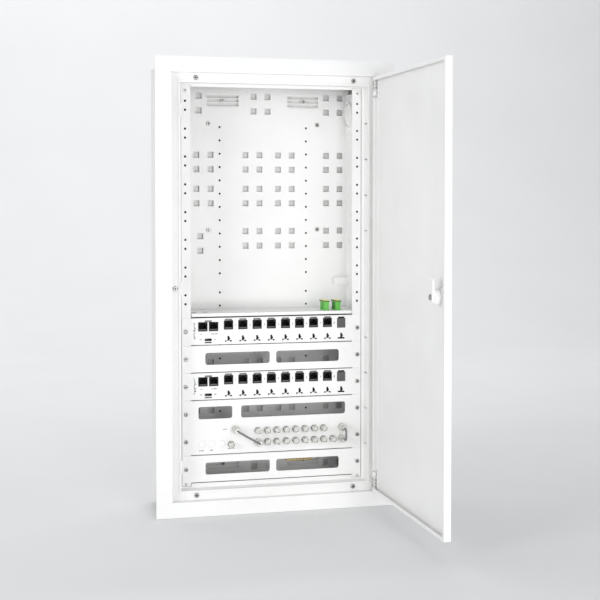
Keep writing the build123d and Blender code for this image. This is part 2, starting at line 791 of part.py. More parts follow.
def cam_screw():
    face = cam_front + cam_thickness
    head = disc(lock_x, lock_z, 4.4, face, face + 1.8)
    head = fillet(head.edges().sort_by(Axis.Y)[-1], 0.8)
    drive = Pos(lock_x, lock_z) * (Rectangle(5, 0.8) + Rectangle(0.8, 5))
    head = head - sheet(drive, face + 0.8, face + 3)
    return head + disc(lock_x, lock_z, 1.5, face - 5, face)


def build():
    data = {"upper": 0, "lower": 2}
    nodes = {
        "back_box": back_box(),
        "wall_anchors": wall_anchors(),
        "cable_entry_plates": cable_entry_plates(),
        "cable_grommets": cable_grommets(),
        "frame_brackets": frame_brackets(),
        "mounting_plate": mounting_plate(),
        "plate_bosses": plate_bosses(),
        "plate_screws": plate_screws(),
        "vent_screws": vent_screws(),
        "trim_frame": trim_frame(),
        "frame_screws": frame_screws(),
        "strike_plate": strike_plate(),
        "door_catches": door_catches(),
        "rail_left": rail(-1),
        "rail_right": rail(1),
        "rail_stays": rail_stays(),
        "rail_screws": rail_screws(),
        "side_entry_plate": side_entry_plate(),
        "side_entry_cap": side_entry_cap(),
        "lacing_bracket": lacing_bracket(),
        "slotted_panel_upper": slotted_panel(1),
        "slotted_panel_lower": slotted_panel(5),
        "coax_panel": coax_panel(3),
        "splitter_housing": splitter_housing(),
        "coax_sockets": coax_sockets(),
        "coax_plugs": coax_plugs(),
        "blank_caps": blank_caps(),
        "jumper_long": lead(*leads()[0]),
        "jumper_short": lead(*leads()[1]),
        "panel_screws": panel_screws(),
        "fibre_shelf": fibre_shelf(),
        "fibre_adapters": group(adapter(x) for x in adapter_columns),
        "adapter_caps": group(adapter_cap(x) for x in adapter_columns),
        "earth_bar": earth_bar(),
        "earth_screws": earth_screws(),
        "earth_supports": earth_supports(),
        "door_panel": open_door(door_panel()),
        "lock_housing": open_door(lock_housing()),
        "lock_nut": open_door(lock_nut()),
        "lock_core": open_door(lock_core()),
        "lock_cam": open_door(lock_cam()),
        "cam_screw": open_door(cam_screw()),
    }
    nodes["vent_grilles"] = group(vent_grille(side, end) for side in (-1, 1) for end in (-1, 1))
    for name, first in data.items():
        nodes[f"data_panel_{name}"] = data_panel(first)
        nodes[f"jacks_{name}"] = group(jack(x, z) for x, z in jack_places(first))
        nodes[f"jack_latches_{name}"] = latches(first)
        nodes[f"circuit_board_{name}"] = circuit_board(first)
        nodes[f"tie_anchors_{name}"] = tie_anchors(first)
    nodes["punch_blocks"] = group([punch_blocks(first) for first in data.values()])
    for name, end in (("upper", 1), ("lower", -1)):
        nodes[f"hinge_ear_{name}"] = hinge_ear(end)
        nodes[f"hinge_pin_{name}"] = hinge_pin(end)
        nodes[f"pin_spring_{name}"] = pin_spring(end)
    return nodes


os.makedirs("parts", exist_ok=True)
for node, shape in build().items():
    export_step(shape, f"parts/{node}.step")
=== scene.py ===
import json
import math
import random

import bmesh
import bpy
from mathutils import Matrix, Vector


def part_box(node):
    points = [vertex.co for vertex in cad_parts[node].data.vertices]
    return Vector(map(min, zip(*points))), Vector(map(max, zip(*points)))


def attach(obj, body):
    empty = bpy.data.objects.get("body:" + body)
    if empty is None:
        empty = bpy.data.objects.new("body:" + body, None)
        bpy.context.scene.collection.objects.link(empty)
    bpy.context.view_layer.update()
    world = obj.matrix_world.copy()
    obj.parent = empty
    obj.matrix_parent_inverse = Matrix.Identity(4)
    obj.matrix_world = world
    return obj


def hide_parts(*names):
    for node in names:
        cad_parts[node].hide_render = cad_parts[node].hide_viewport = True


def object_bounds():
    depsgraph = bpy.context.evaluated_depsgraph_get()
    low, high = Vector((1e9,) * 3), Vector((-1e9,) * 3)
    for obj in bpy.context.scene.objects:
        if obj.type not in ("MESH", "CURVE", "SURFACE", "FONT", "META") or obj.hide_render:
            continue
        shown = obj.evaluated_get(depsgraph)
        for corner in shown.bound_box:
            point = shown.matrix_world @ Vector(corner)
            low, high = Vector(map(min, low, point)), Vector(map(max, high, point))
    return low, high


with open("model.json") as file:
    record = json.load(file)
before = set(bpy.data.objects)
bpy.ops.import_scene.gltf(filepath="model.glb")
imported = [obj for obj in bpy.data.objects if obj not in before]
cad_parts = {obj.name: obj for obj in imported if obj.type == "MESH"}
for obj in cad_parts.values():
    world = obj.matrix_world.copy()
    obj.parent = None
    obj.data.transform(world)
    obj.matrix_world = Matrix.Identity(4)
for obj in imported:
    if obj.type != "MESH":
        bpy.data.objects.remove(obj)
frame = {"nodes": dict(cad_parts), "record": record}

scene = bpy.context.scene
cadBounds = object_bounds()
mm = 0.001
nodes = frame["nodes"]
record = frame["record"]
print("frame loaded:", len(nodes), "nodes")


# Camera, lights and floor

camera = {
    "place": (-0.4757, -2.1212, 0.1397),
    "turn": 14.38,       # degrees towards +X
    "tilt": 1.81,        # degrees down
    "lens": 77.0,
    "shift": -0.1,
}
studio = {
    "floorColour": (0.86, 0.865, 0.87),
    "wallBehind": 3.2,   # from the cabinet's back to the backdrop
    "bendRadius": 1.2,
    "skyStrength": 0.50,
}
lights = {
    # Place, point aimed at, size and power of each lamp.
    "keyLight": ((0.22, -2.6, 0.25), (0, -0.1, 0), (0.7, 0.7), 10.5),
    "sideLight": ((-2.1, -1.5, 0.4), (0, -0.1, 0), (1.1, 1.1), 20),
    "lowLight": ((0.0, -1.5, -0.28), (0, -0.06, 0.3), (0.9, 0.3), 5.0),
    "wallLight": ((0, 0.9, 2.4), (0, 3.2, 0.3), (3.0, 0.6), 42),
}


def makeCamera():
    lens = bpy.data.cameras.new("camera")
    lens.lens = camera["lens"]
    lens.sensor_width = 36
    lens.shift_y = camera["shift"]
    lens.clip_start = 0.05
    lens.clip_end = 50
    seen = bpy.data.objects.new("camera", lens)
    seen.location = camera["place"]
    seen.rotation_euler = (math.radians(90 - camera["tilt"]), 0, math.radians(-camera["turn"]))
    scene.collection.objects.link(seen)
    scene.camera = seen


def makeBackdrop():
    # Floor and wall in one bent sheet, so that no line shows between them.
    low = cadBounds[0]
    back = cadBounds[1].y + studio["wallBehind"]
    radius = studio["bendRadius"]
    floorZ = low.z - 0.0005
    profile = [(-6.0, floorZ)]
    for step in range(13):
        angle = math.radians(90 * step / 12)
        profile.append((back - radius + radius * math.sin(angle), floorZ + radius - radius * math.cos(angle)))
    profile.append((back, 5.0))
    sheet = bmesh.new()
    rows = [[sheet.verts.new((x, y, z)) for y, z in profile] for x in (-6.0, 6.0)]
    for i in range(len(profile) - 1):
        sheet.faces.new((rows[0][i], rows[1][i], rows[1][i + 1], rows[0][i + 1]))
    for face in sheet.faces:
        face.smooth = True
    mesh = bpy.data.meshes.new("backdrop")
    sheet.to_mesh(mesh)
    sheet.free()
    backdrop = bpy.data.objects.new("backdrop", mesh)
    scene.collection.objects.link(backdrop)
    return backdrop


def makeLight(name, place, aim, size, power):
    light = bpy.data.lights.new(name, "AREA")
    light.shape = "RECTANGLE"
    light.size, light.size_y = size
    light.energy = power
    lamp = bpy.data.objects.new(name, light)
    lamp.location = place
    lamp.rotation_euler = (Vector(aim) - Vector(place)).to_track_quat("-Z", "Y").to_euler()
    scene.collection.objects.link(lamp)


def makeSky():
    sky = bpy.data.worlds.new("sky")
    sky.use_nodes = True
    glow = sky.node_tree.nodes["Background"]
    glow.inputs["Color"].default_value = (0.97, 0.98, 1.0, 1)
    glow.inputs["Strength"].default_value = studio["skyStrength"]
    scene.world = sky


makeCamera()
backdrop = makeBackdrop()
for name, (place, aim, size, power) in lights.items():
    makeLight(name, place, aim, size, power)
makeSky()
scene.view_settings.view_transform = "Standard"
print("camera, lights and floor made")


# Materials

def newMaterial(name):
    material = bpy.data.materials.new(name)
    material.use_nodes = True
    tree = material.node_tree
    shader = tree.nodes["Principled BSDF"]
    spot = tree.nodes.new("ShaderNodeTexCoord")
    return material, tree, shader, spot.outputs["Object"]


def grain(tree, where, size, detail=3.0, roughness=0.5, stretch=None):
    # Noise whose features are about size metres across.
    if stretch:
        mapping = tree.nodes.new("ShaderNodeMapping")
        mapping.inputs["Scale"].default_value = stretch
        tree.links.new(where, mapping.inputs["Vector"])
        where = mapping.outputs["Vector"]
    noise = tree.nodes.new("ShaderNodeTexNoise")
    noise.inputs["Scale"].default_value = 1 / size
    noise.inputs["Detail"].default_value = detail
    noise.inputs["Roughness"].default_value = roughness
    tree.links.new(where, noise.inputs["Vector"])
    return noise.outputs["Fac"]


def spread(tree, value, low, high, fromLow=0.3, fromHigh=0.7):
    scale = tree.nodes.new("ShaderNodeMapRange")
    scale.inputs["From Min"].default_value = fromLow
    scale.inputs["From Max"].default_value = fromHigh
    scale.inputs["To Min"].default_value = low
    scale.inputs["To Max"].default_value = high
    tree.links.new(value, scale.inputs["Value"])
    return scale.outputs["Result"]


def between(tree, value, first, second):
    ramp = tree.nodes.new("ShaderNodeValToRGB")
    ramp.color_ramp.elements[0].position = 0.32
    ramp.color_ramp.elements[1].position = 0.68
    ramp.color_ramp.elements[0].color = (*first, 1)
    ramp.color_ramp.elements[1].color = (*second, 1)
    tree.links.new(value, ramp.inputs["Fac"])
    return ramp.outputs["Color"]


def relief(tree, shader, value, depth, strength=1.0, under=None):
    bump = tree.nodes.new("ShaderNodeBump")
    bump.inputs["Strength"].default_value = strength
    bump.inputs["Distance"].default_value = depth
    tree.links.new(value, bump.inputs["Height"])
    if under is not None:
        tree.links.new(under, bump.inputs["Normal"])
    tree.links.new(bump.outputs["Normal"], shader.inputs["Normal"])
    return bump.outputs["Normal"]


def shade(colour, share):
    return tuple(min(1.0, c * share) for c in colour)


def powderCoat(name, colour, peel, roughness, coat=0.12):
    # Baked powder coat: fine orange peel, faint cloudiness and slightly uneven gloss.
    material, tree, shader, where = newMaterial(name)
    cloud = grain(tree, where, 0.09, 2)
    tone = between(tree, cloud, shade(colour, 0.975), shade(colour, 1.012))
    tree.links.new(tone, shader.inputs["Base Color"])
    gloss = grain(tree, where, 0.012, 4)
    tree.links.new(spread(tree, gloss, roughness - 0.04, roughness + 0.05), shader.inputs["Roughness"])
    coarse = relief(tree, shader, grain(tree, where, 0.0022, 2), peel)
    relief(tree, shader, grain(tree, where, 0.0005, 2), peel * 0.3, under=coarse)
    shader.inputs["Coat Weight"].default_value = coat
    shader.inputs["Coat Roughness"].default_value = 0.25
    return material


def moulding(name, colour, roughness, texture, specular=0.5):
    # Moulded plastic: spark-eroded grain and faint flow marks.
    material, tree, shader, where = newMaterial(name)
    flow = grain(tree, where, 0.02, 3, stretch=(1, 1, 0.35))
    tree.links.new(between(tree, flow, shade(colour, 0.94), shade(colour, 1.03)), shader.inputs["Base Color"])
    gloss = grain(tree, where, 0.004, 3)
    tree.links.new(spread(tree, gloss, roughness - 0.05, roughness + 0.06), shader.inputs["Roughness"])
    relief(tree, shader, grain(tree, where, 0.00035, 2), texture)
    shader.inputs["Specular IOR Level"].default_value = specular
    return material


def plated(name, colour, roughness, scratchAxis=(1, 1, 14), scratchDepth=0.000006):
    # Plated metal: fine directional scratches, hazy patches and a slight change of tint.
    material, tree, shader, where = newMaterial(name)
    haze = grain(tree, where, 0.006, 4)
    tree.links.new(between(tree, haze, shade(colour, 0.88), shade(colour, 1.06)), shader.inputs["Base Color"])
    scratch = grain(tree, where, 0.0016, 5, 0.7, stretch=scratchAxis)
    tree.links.new(spread(tree, scratch, roughness - 0.08, roughness + 0.12), shader.inputs["Roughness"])
    relief(tree, shader, scratch, scratchDepth)
    shader.inputs["Metallic"].default_value = 1
    return material


def castAlloy(name, colour):
    material, tree, shader, where = newMaterial(name)
    skin = grain(tree, where, 0.0012, 5, 0.65)
    tree.links.new(between(tree, skin, shade(colour, 0.8), shade(colour, 1.05)), shader.inputs["Base Color"])
    tree.links.new(spread(tree, skin, 0.42, 0.66), shader.inputs["Roughness"])
    relief(tree, shader, skin, 0.00006)
    shader.inputs["Metallic"].default_value = 1
    return material


def rubber(name, colour):
    material, tree, shader, where = newMaterial(name)
    bloom = grain(tree, where, 0.008, 4)
    tree.links.new(between(tree, bloom, shade(colour, 0.85), shade(colour, 1.2)), shader.inputs["Base Color"])
    tree.links.new(spread(tree, bloom, 0.72, 0.9), shader.inputs["Roughness"])
    relief(tree, shader, grain(tree, where, 0.0006, 3), 0.00004)
    shader.inputs["Sheen Weight"].default_value = 0.15
    return material


def solderMask(name, colour):
    # Board with paler copper tracks under the mask.
    material, tree, shader, where = newMaterial(name)
    tracks = tree.nodes.new("ShaderNodeTexBrick")
    tracks.inputs["Scale"].default_value = 1 / 0.004
    tracks.inputs["Mortar Size"].default_value = 0.06
    tracks.inputs["Color1"].default_value = (*colour, 1)
    tracks.inputs["Color2"].default_value = (*shade(colour, 0.8), 1)
    tracks.inputs["Mortar"].default_value = (*shade(colour, 1.7), 1)
    turned = tree.nodes.new("ShaderNodeMapping")
    turned.inputs["Rotation"].default_value = (math.radians(90), 0, 0)
    tree.links.new(where, turned.inputs["Vector"])
    tree.links.new(turned.outputs["Vector"], tracks.inputs["Vector"])
    tree.links.new(tracks.outputs["Color"], shader.inputs["Base Color"])
    tree.links.new(spread(tree, grain(tree, where, 0.01, 3), 0.22, 0.36), shader.inputs["Roughness"])
    relief(tree, shader, tracks.outputs["Fac"], 0.00002)
    return material


def paper(name, colour):
    material, tree, shader, where = newMaterial(name)
    mottle = grain(tree, where, 0.3, 3)
    tone = between(tree, mottle, shade(colour, 0.99), shade(colour, 1.01))
    tree.links.new(tone, shader.inputs["Base Color"])
    tree.links.new(spread(tree, grain(tree, where, 0.002, 2), 0.78, 0.88), shader.inputs["Roughness"])
    return material


def slotColour(name):
    return next(tuple(m["base_color"]) for m in record["materials"] if m["slot"] == name)


def slotMaterials():
    made = {}
    for name in ("white_coat", "door_coat", "box_steel", "white_screw", "white_pin"):
        made[name] = powderCoat(name, slotColour(name), 0.00003, 0.42)
    made["white_moulding"] = moulding("white_moulding", slotColour("white_moulding"), 0.45, 0.00002)
    made["lead_jacket"] = moulding("lead_jacket", slotColour("lead_jacket"), 0.4, 0.00001)
    made["green_moulding"] = moulding("green_moulding", slotColour("green_moulding"), 0.3, 0.00001)
    made["yellow_moulding"] = moulding("yellow_moulding", slotColour("yellow_moulding"), 0.4, 0.00001)
    made["black_moulding"] = moulding("black_moulding", slotColour("black_moulding"), 0.5, 0.00002, 0.1)
    made["grey_rubber"] = rubber("grey_rubber", slotColour("grey_rubber"))
    made["zinc_steel"] = plated("zinc_steel", slotColour("zinc_steel"), 0.38)
    made["zinc_screw"] = plated("zinc_screw", slotColour("zinc_screw"), 0.3)
    made["nickel"] = plated("nickel", slotColour("nickel"), 0.26, (1, 10, 1))
    made["tinned_tab"] = plated("tinned_tab", slotColour("tinned_tab"), 0.34)
    made["brass_bar"] = plated("brass_bar", slotColour("brass_bar"), 0.3, (14, 1, 1))
    made["spring_steel"] = plated("spring_steel", slotColour("spring_steel"), 0.32)
    made["cast_alloy"] = castAlloy("cast_alloy", slotColour("cast_alloy"))
    made["board_mask"] = solderMask("board_mask", slotColour("board_mask"))
    return made


finishes = slotMaterials()
contactGold = plated("contactGold", (0.30, 0.20, 0.08), 0.34, (1, 10, 1))
stripGrey = moulding("stripGrey", (0.11, 0.11, 0.115), 0.45, 0.00001, 0.3)
inkGrey = moulding("inkGrey", (0.07, 0.07, 0.075), 0.6, 0.000005, 0.2)
blankGrey = moulding("blankGrey", (0.12, 0.12, 0.118), 0.5, 0.00001, 0.3)
# Near-black painted shade for the screws' cross recesses and the nuts behind the small holes.
paintedShadeBlack = moulding("paintedShadeBlack", (0.035, 0.034, 0.033), 0.6, 0.00001, 0.2)
rimBlack = moulding("rimBlack", (0.018, 0.018, 0.02), 0.45, 0.00001)
nutNickel = plated("nutNickel", (0.34, 0.34, 0.335), 0.32, (1, 1, 10))
insulator = moulding("insulator", (0.85, 0.84, 0.80), 0.4, 0.00001)
backdrop.data.materials.append(paper("paper", studio["floorColour"]))


def coatNodes():
    slots = {part["node"]: part["material_slot"] for part in record["subparts"]}
    for name, piece in nodes.items():
        piece.data.materials.clear()
        piece.data.materials.append(finishes[slots[name]])
        for face in piece.data.polygons:
            face.material_index = 0


coatNodes()
print("materials made:", len(bpy.data.materials))


# Shared mesh tools

def solidBoxes(name):
    # Lowest and highest corner of each separate solid in a CAD node, from left to right.
    mesh = bmesh.new()
    mesh.from_mesh(nodes[name].data)
    bmesh.ops.remove_doubles(mesh, verts=mesh.verts, dist=0.000001)
    unseen = set(mesh.verts)
    boxes = []
    while unseen:
        edge = [unseen.pop()]
        solid = list(edge)
        while edge:
            for link in edge.pop().link_edges:
                for vert in link.verts:
                    if vert in unseen:
                        unseen.discard(vert)
                        edge.append(vert)
                        solid.append(vert)
        low = Vector([min(v.co[i] for v in solid) for i in range(3)])
        high = Vector([max(v.co[i] for v in solid) for i in range(3)])
        boxes.append((low, high))
    mesh.free()
    return sorted(boxes, key=lambda pair: (round(pair[0].z, 4), round(pair[0].x, 4)))


def meshObject(name, mesh, smooth=True):
    data = bpy.data.meshes.new(name)
    mesh.to_mesh(data)
    mesh.free()
    if smooth:
        data.shade_smooth()
    made = bpy.data.objects.new(name, data)
    scene.collection.objects.link(made)
    return made


def turned(profile, sides=32):
    # Closed profile of (radius, depth) points turned about the Y axis.
    mesh = bmesh.new()
    rings = []
    for step in range(sides):
        angle = 2 * math.pi * step / sides
        rings.append([mesh.verts.new((r * math.cos(angle), y, r * math.sin(angle))) for r, y in profile])
    count = len(profile)
    for i in range(sides):
        near, far = rings[i], rings[(i + 1) % sides]
        for j in range(count):
            k = (j + 1) % count
            mesh.faces.new((near[j], near[k], far[k], far[j]))
    bmesh.ops.remove_doubles(mesh, verts=mesh.verts, dist=0.0000005)
    bmesh.ops.recalc_face_normals(mesh, faces=mesh.faces)
    return mesh


def roundBox(mesh, low, high, radius=0.0):
    # Adds a box with rounded edges to a mesh that is being built.
    centre = (Vector(low) + Vector(high)) / 2
    size = Vector(high) - Vector(low)
    place = Matrix.Translation(centre) @ Matrix.Diagonal((*size, 1))
    made = bmesh.ops.create_cube(mesh, size=1, matrix=place)
    if radius > 0:
        edges = {edge for vert in made["verts"] for edge in vert.link_edges}
        bmesh.ops.bevel(mesh, geom=list(edges), offset=radius, segments=2, profile=0.5, affect="EDGES")


def autoSmooth(piece, angle=35):
    # Sharp edges stay sharp, curved stretches shade smoothly.
    mesh = bmesh.new()
    mesh.from_mesh(piece.data)
    limit = math.radians(angle)
    for edge in mesh.edges:
        turn = edge.calc_face_angle(0)
        edge.smooth = turn < limit
    for face in mesh.faces:
        face.smooth = True
    mesh.to_mesh(piece.data)
    mesh.free()


def repeatTree(name):
    # Puts the part on every place, in a row of its own, and hands back one solid mesh.
    tree = bpy.data.node_groups.new(name, "GeometryNodeTree")
    sockets = (
        ("Places", "NodeSocketGeometry"),
        ("Part", "NodeSocketObject"),
        ("Row count", "NodeSocketInt"),
        ("Row step", "NodeSocketVector"),
        ("Finish", "NodeSocketMaterial"),
    )
    for label, kind in sockets:
        tree.interface.new_socket(label, in_out="INPUT", socket_type=kind)
    tree.interface.new_socket("Mesh", in_out="OUTPUT", socket_type="NodeSocketGeometry")
    entry = tree.nodes.new("NodeGroupInput")
    leave = tree.nodes.new("NodeGroupOutput")
    part = tree.nodes.new("GeometryNodeObjectInfo")
    row = tree.nodes.new("GeometryNodeMeshLine")
    rowPoints = tree.nodes.new("GeometryNodeInstanceOnPoints")
    flatRows = tree.nodes.new("GeometryNodeRealizeInstances")
    copies = tree.nodes.new("GeometryNodeInstanceOnPoints")
    solid = tree.nodes.new("GeometryNodeRealizeInstances")
    coat = tree.nodes.new("GeometryNodeSetMaterial")
    link = tree.links.new
    link(entry.outputs["Part"], part.inputs["Object"])
    link(entry.outputs["Row count"], row.inputs["Count"])
    link(entry.outputs["Row step"], row.inputs["Offset"])
    link(entry.outputs["Places"], rowPoints.inputs["Points"])
    link(row.outputs["Mesh"], rowPoints.inputs["Instance"])
    link(rowPoints.outputs["Instances"], flatRows.inputs["Geometry"])
    link(flatRows.outputs["Geometry"], copies.inputs["Points"])
    link(part.outputs["Geometry"], copies.inputs["Instance"])
    link(copies.outputs["Instances"], solid.inputs["Geometry"])
    link(solid.outputs["Geometry"], coat.inputs["Geometry"])
    link(entry.outputs["Finish"], coat.inputs["Material"])
    link(coat.outputs["Geometry"], leave.inputs["Mesh"])
    return tree


repeater = repeatTree("repeatOnPlaces")


def setInput(modifier, label, value):
    for item in modifier.node_group.interface.items_tree:
        if item.item_type == "SOCKET" and item.in_out == "INPUT" and item.name == label:
            modifier[item.identifier] = value


def repeated(name, part, places, finish, count=1, step=(0, 0, 0), body="cabinet"):
    # One mesh of the part at every place; the part itself is removed.
    points = bpy.data.meshes.new(name + "Places")
    points.from_pydata([tuple(p) for p in places], [], [])
    carrier = bpy.data.objects.new(name + "Carrier", points)
    scene.collection.objects.link(carrier)
    modifier = carrier.modifiers.new("repeat", "NODES")
    modifier.node_group = repeater
    setInput(modifier, "Part", part)
    setInput(modifier, "Row count", count)
    setInput(modifier, "Row step", step)
    setInput(modifier, "Finish", finish)
    bpy.context.view_layer.update()
    ready = carrier.evaluated_get(bpy.context.evaluated_depsgraph_get())
    mesh = bpy.data.meshes.new_from_object(ready)
    mesh.name = name
    bpy.data.objects.remove(carrier)
    bpy.data.objects.remove(part)
    made = bpy.data.objects.new(name, mesh)
    scene.collection.objects.link(made)
    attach(made, body)
    return made


def depthPlace(box):
    # Middle of a box in X and Z, on its front face.
    low, high = box
    return Vector(((low.x + high.x) / 2, low.y, (low.z + high.z) / 2))


# Jumper leads

leads = {
    "leadLong": {
        "node": "jumper_long",
        "length": 0.0556,
        "route": [
            (-0.0630, -0.1075, -0.2328), (-0.0630, -0.1134, -0.2328), (-0.0583, -0.1166, -0.2356),
            (-0.0305, -0.1166, -0.2522), (-0.0258, -0.1134, -0.2550), (-0.0258, -0.1075, -0.2550),
        ],
    },
    "leadShort": {
        "node": "jumper_short",
        "length": 0.0314,
        "route": [
            (0.1166, -0.1075, -0.2363), (0.1166, -0.1134, -0.2363), (0.1166, -0.1166, -0.2409),
            (0.1166, -0.1166, -0.2504), (0.1166, -0.1134, -0.2550), (0.1166, -0.1075, -0.2550),
        ],
    },
}
leadDiameter = 3.4 * mm


def makeLead(name, lead):
    line = bpy.data.curves.new(name, "CURVE")
    line.dimensions = "3D"
    line.bevel_depth = leadDiameter / 2
    line.bevel_resolution = 5
    line.resolution_u = 10
    spline = line.splines.new("NURBS")
    spline.points.add(len(lead["route"]) - 1)
    for point, place in zip(spline.points, lead["route"]):
        point.co = (*place, 1)
    spline.order_u = 3
    spline.use_endpoint_u = True
    line.materials.append(finishes["lead_jacket"])
    piece = bpy.data.objects.new(name, line)
    scene.collection.objects.link(piece)
    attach(piece, "cabinet")
    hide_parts(lead["node"])


for name, lead in leads.items():
    makeLead(name, lead)
print("leads made")


# Coaxial sockets: hexagon, threaded barrel and insulator

coax = {
    "barrelRadius": 4.55 * mm,
    "boreRadius": 3.5 * mm,
    "threadDepth": 0.28 * mm,
    "threadPitch": 0.8 * mm,
    "nutRadius": 5.6 * mm,
    "nutThickness": 2.4 * mm,
    "insulatorGap": 0.5 * mm,
    "plugFlutes": 11,
    "fluteCut": 0.83,
    "plugBore": 5.05,        # radii and depths from here on in millimetres
    "plugHole": 1.75,
    "plugNose": ((1.75, 0), (3.3, 0), (3.6, 1.6), (6.1, 5.2), (6.2, 6.0)),
    "plugBoreDepth": 7.0,
}


def barrelProfile(front, seat):
    # Outer wall with thread ridges, then back through the bore.
    outer = coax["barrelRadius"]
    profile = [(coax["boreRadius"], front + 0.25 * mm), (coax["boreRadius"] + 0.2 * mm, front)]
    profile.append((outer - 0.25 * mm, front))
    y = front + 0.3 * mm
    while y < seat - coax["threadPitch"]:
        profile.append((outer - coax["threadDepth"], y))
        profile.append((outer, y + coax["threadPitch"] * 0.4))
        profile.append((outer, y + coax["threadPitch"] * 0.6))
        y += coax["threadPitch"]
    profile.append((outer - coax["threadDepth"], seat))
    profile.append((coax["boreRadius"], seat))
    return profile


def makeCoaxSockets():
    boxes = solidBoxes("coax_sockets")
    places = [depthPlace(box) for box in boxes]
    front = places[0].y
    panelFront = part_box("coax_panel")[0].y
    length = panelFront - front
    centres = [(p.x, front, p.z) for p in places]
    barrel = meshObject("barrel", turned(barrelProfile(0, length), 28))
    autoSmooth(barrel)
    made = repeated("coaxBarrels", barrel, centres, finishes["nickel"])
    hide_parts("coax_sockets")
    nut = turned([(coax["nutRadius"] * 0.92, length - coax["nutThickness"]),
                  (coax["nutRadius"], length - coax["nutThickness"] * 0.75),
                  (coax["nutRadius"], length), (coax["boreRadius"], length),
                  (coax["boreRadius"], length - coax["nutThickness"])], 6)
    nuts = repeated("coaxNuts", meshObject("nut", nut, False), centres, nutNickel)
    rim = coax["boreRadius"] - coax["insulatorGap"]
    face = turned([(0.6 * mm, 2.2 * mm), (0.9 * mm, 1.6 * mm), (rim, 1.6 * mm),
                   (rim, 5 * mm), (0.6 * mm, 5 * mm)], 20)
    insulators = repeated("coaxInsulators", meshObject("face", face), centres, insulator)


def fluted(profile, flutes, cut, shallow):
    # Like turned, but every second pair of steps is cut in, except at radii up to shallow.
    mesh = bmesh.new()
    steps = flutes * 4
    rings = []
    for step in range(steps):
        angle = 2 * math.pi * step / steps
        share = cut if step % 4 > 1 else 1
        points = [(r * share if r > shallow else r, y) for r, y in profile]
        rings.append([mesh.verts.new((r * math.cos(angle), y, r * math.sin(angle))) for r, y in points])
    count = len(profile)
    for i in range(steps):
        near, far = rings[i], rings[(i + 1) % steps]
        for j in range(count):
            k = (j + 1) % count
            mesh.faces.new((near[j], near[k], far[k], far[j]))
    bmesh.ops.recalc_face_normals(mesh, faces=mesh.faces)
    return mesh


def makePlugs():
    # Fluted push-on sleeves with a tapered nose, one at each end of the two leads.
    places = [depthPlace(box) for box in solidBoxes("coax_plugs")]
    low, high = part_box("coax_plugs")
    length = high.y - low.y
    bore, depth = coax["plugBore"], coax["plugBoreDepth"]
    outline = list(coax["plugNose"])
    outline += [(outline[-1][0], length / mm), (bore, length / mm), (bore, depth), (coax["plugHole"], depth)]
    profile = [(r * mm, y * mm) for r, y in outline]
    sleeve = fluted(profile, coax["plugFlutes"], coax["fluteCut"], (bore + 0.01) * mm)
    made = repeated("plugSleeves", meshObject("sleeve", sleeve, False), places, finishes["nickel"])
    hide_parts("coax_plugs")


makeCoaxSockets()
makePlugs()
print("coaxial sockets and plugs made")


# Network sockets: gold contacts and grey strip

network = {
    "contactCount": 8,
    "contactStep": 1.02 * mm,
    "contactWidth": 0.42 * mm,
    "stripWidth": 12.0 * mm,
    "stripHeight": 2.0 * mm,
    "stripDrop": 4.9 * mm,
    "portPitch": 23.72 * mm,
    "blankSize": (14.4 * mm, 15.6 * mm),
    "blankRibs": 6,
    "blankDrop": 1.2 * mm,
    "contactBend": ((11.0, 2.9), (3.2, 3.1), (2.6, 2.6), (9.5, -1.0)),   # depth and height in millimetres
    "contactThickness": 0.3,
}


def portPlaces(level):
    openings = record["physics"]["openings"]
    found = [o["box_m"] for o in openings if o["name"].startswith(level + "_socket_")]
    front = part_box("jacks_" + level)[0].y
    return [Vector(((low[0] + high[0]) / 2, front, (low[2] + high[2]) / 2)) for low, high in found]


def contactWire():
    # Spring wire bent back on itself inside the port, seen from the side as depth and height.
    bend = network["contactBend"]
    thick = network["contactThickness"]
    mesh = bmesh.new()
    half = network["contactWidth"] / 2
    rings = []
    for i, (d, z) in enumerate(bend):
        nearBend = bend[max(0, i - 1)]
        nextBend = bend[min(len(bend) - 1, i + 1)]
        run = Vector((nextBend[0] - nearBend[0], nextBend[1] - nearBend[1])).normalized()
        across = Vector((-run.y, run.x)) * thick / 2
        corners = [(-half, across), (half, across), (half, -across), (-half, -across)]
        rings.append([mesh.verts.new((x, (d + a.x) * mm, (z + a.y) * mm)) for x, a in corners])
    for a, b in zip(rings, rings[1:]):
        for j in range(4):
            mesh.faces.new((a[j], a[(j + 1) % 4], b[(j + 1) % 4], b[j]))
    mesh.faces.new(rings[0])
    mesh.faces.new(rings[-1])
    bmesh.ops.recalc_face_normals(mesh, faces=mesh.faces)
    return meshObject("contact", mesh, False)


def makeContacts():
    places = []
    back = (network["contactCount"] - 1) / 2 * network["contactStep"]
    for level in ("upper", "lower"):
        places += [(p.x - back, p.y, p.z) for p in portPlaces(level)]
    wires = repeated(
        "socketContacts", contactWire(), places, contactGold,
        network["contactCount"], (network["contactStep"], 0, 0),
    )


def makeLightStrips():
    strip = bmesh.new()
    halfX, halfZ = network["stripWidth"] / 2, network["stripHeight"] / 2
    roundBox(strip, (-halfX, -0.25 * mm, -halfZ), (halfX, 0.4 * mm, halfZ), 0.2 * mm)
    places = []
    for level in ("upper", "lower"):
        places += [(p.x, p.y, p.z - network["stripDrop"]) for p in portPlaces(level)]
    strips = repeated("socketStrips", meshObject("strip", strip), places, stripGrey)


